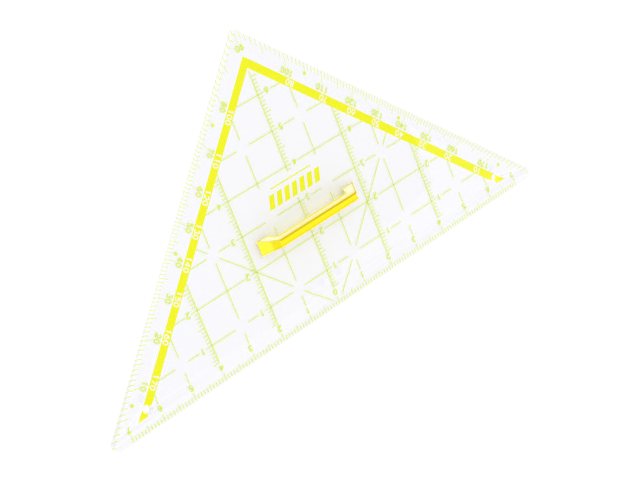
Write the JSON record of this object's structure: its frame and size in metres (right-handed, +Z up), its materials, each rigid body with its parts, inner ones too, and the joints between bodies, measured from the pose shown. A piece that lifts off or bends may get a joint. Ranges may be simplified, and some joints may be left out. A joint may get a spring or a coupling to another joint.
{
  "type": "set square",
  "caption": "Clear plastic 45-45-90 geometry set square with a protractor scale, a grid, a fluorescent yellow print and a lift-off bow handle.",
  "frame": {"origin": "the zero mark, in the middle of the long edge, on the plane that the four nubs stand on", "axes": "+X along the long edge, +Y from the long edge to the right-angled corner, +Z up through the plate to the handle"},
  "size_m": [0.152, 0.0782, 0.0069],
  "materials": {
    "clear_plastic": "clear polished acrylic or styrene sheet",
    "fluorescent_plastic": "translucent fluorescent yellow, moulded gloss",
    "yellow_ink": "fluorescent yellow print, flat",
    "line_ink": "yellow-green print, flat, fine lines"
  },
  "bodies": {
    "square": {"clear_plate": "clear_plastic", "accent_band": "yellow_ink", "edge_scale_ticks": "line_ink", "edge_scale_numerals": "line_ink", "centre_column_scale": "line_ink", "inner_column_scales": "line_ink", "outer_column_scales": "line_ink", "plain_column_lines": "line_ink", "row_lines": "line_ink", "row_numerals": "line_ink", "diagonal_lines": "line_ink", "degree_ticks_left": "line_ink", "degree_ticks_right": "line_ink", "degree_numerals_left": "line_ink", "degree_numerals_right": "line_ink", "marker_dots": "line_ink", "emblem_strip": "yellow_ink"},
    "grip": {"lift_handle": "fluorescent_plastic"}
  },
  "joints": [
    {"name": "handle_lift", "type": "slide", "parent": "square", "child": "grip", "axis": [0, 0, 1], "range_m": [0, 0.02]}
  ]
}
